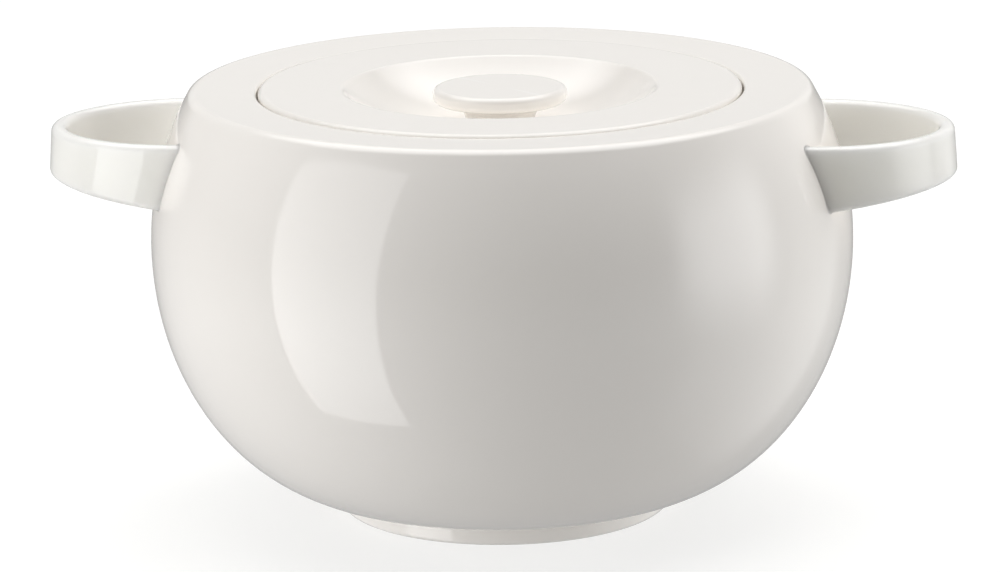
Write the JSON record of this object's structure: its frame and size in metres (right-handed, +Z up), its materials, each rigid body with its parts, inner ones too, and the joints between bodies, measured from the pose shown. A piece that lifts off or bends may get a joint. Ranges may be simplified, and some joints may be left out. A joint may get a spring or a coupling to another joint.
{
  "type": "covered serving bowl",
  "caption": "Round covered serving bowl on a low foot ring, with strap loop handles at its sides and a flat drop-in lid whose knob stands in a finger dish.",
  "frame": {"origin": "centre of the foot ring, on the surface that it stands on", "axes": "+X along the line of the handles, +Y away from the viewer, +Z up the bowl's axis"},
  "size_m": [0.2844, 0.22, 0.1343],
  "materials": {
    "bowl_glaze": "glossy clear glaze over warm white porcelain",
    "lid_glaze": "glossy clear glaze over warm white porcelain"
  },
  "bodies": {
    "bowl_body": {"bowl": "bowl_glaze", "foot_ring": "bowl_glaze", "left_handle": "bowl_glaze", "right_handle": "bowl_glaze"},
    "lid_body": {"lid": "lid_glaze", "lid_knob": "lid_glaze"}
  },
  "joints": [
    {"name": "lid_lift", "type": "slide", "parent": "bowl_body", "child": "lid_body", "axis": [0, 0, 1], "range_m": [0, 0.15]}
  ]
}
